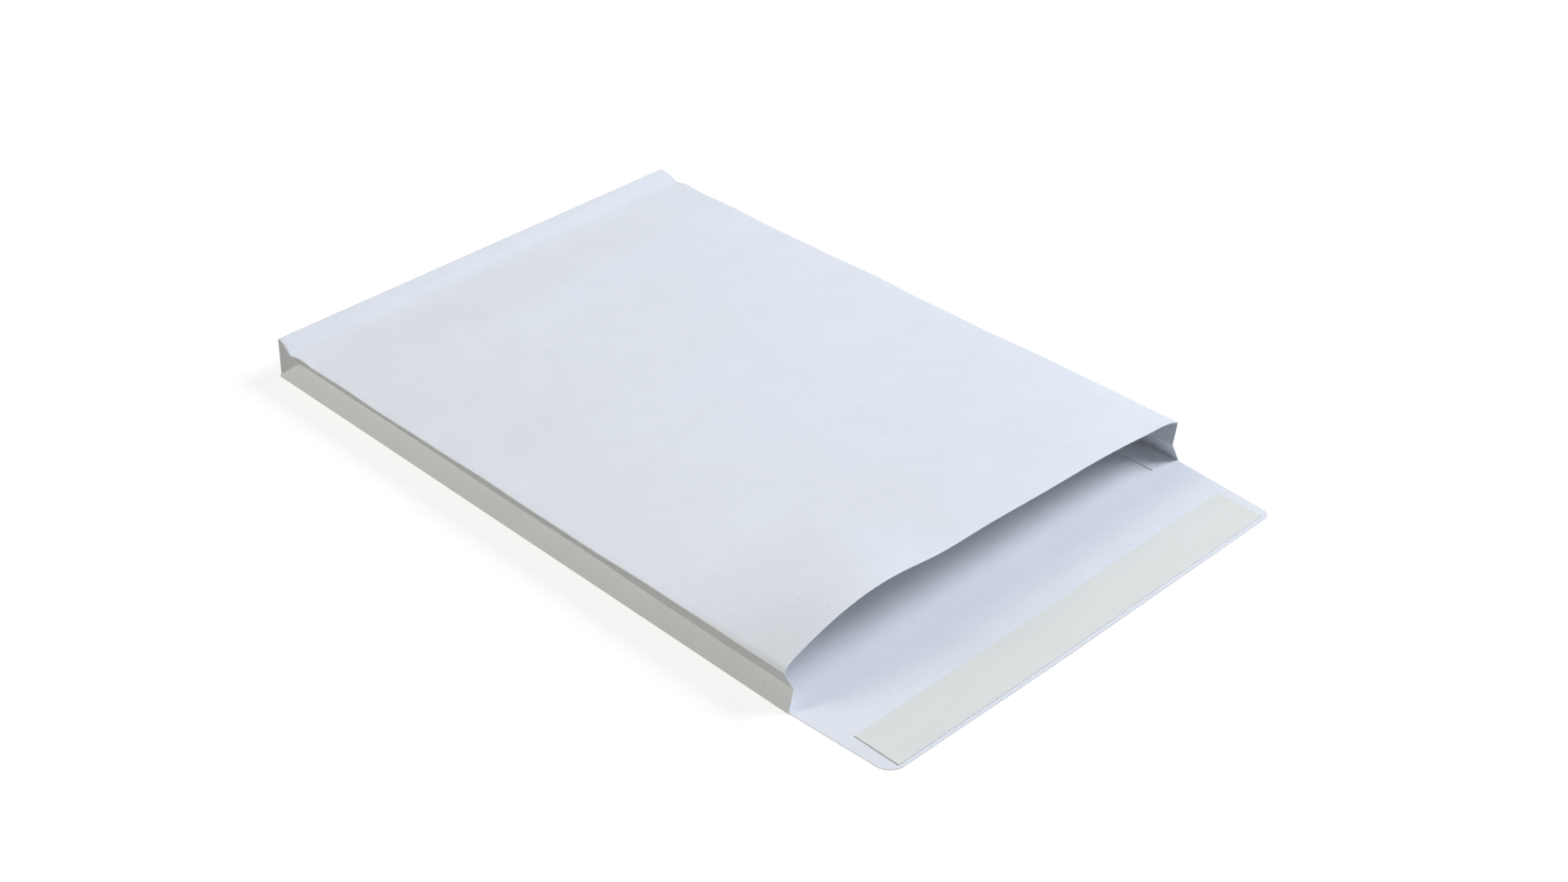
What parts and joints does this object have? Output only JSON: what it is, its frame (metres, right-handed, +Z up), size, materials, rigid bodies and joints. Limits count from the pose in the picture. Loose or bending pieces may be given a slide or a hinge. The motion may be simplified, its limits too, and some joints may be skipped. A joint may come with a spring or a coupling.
{
  "type": "gusseted envelope",
  "caption": "White paper pocket envelope with V-folded side gussets and a block bottom, opened out, its peel-and-seal flap lying flat in front of the mouth.",
  "frame": {"origin": "under the middle of the whole envelope, open flap included, on the plane it rests on", "axes": "+Z up from the rest plane through the upper panel, -Y out of the mouth toward the open flap's edge, +Y toward the closed end wall, +X to the right seen from the mouth"},
  "size_m": [0.229, 0.3746, 0.0298],
  "materials": {
    "envelope_paper": "smooth uncoated white paper, matt",
    "adhesive": "thin tacky self-adhesive film, translucent cream",
    "liner_paper": "thin siliconised paper with a slight sheen, faintly green-white"
  },
  "bodies": {
    "root": {"envelope_sheet": "envelope_paper", "adhesive_strip": "adhesive", "release_liner": "liner_paper"}
  },
  "joints": []
}
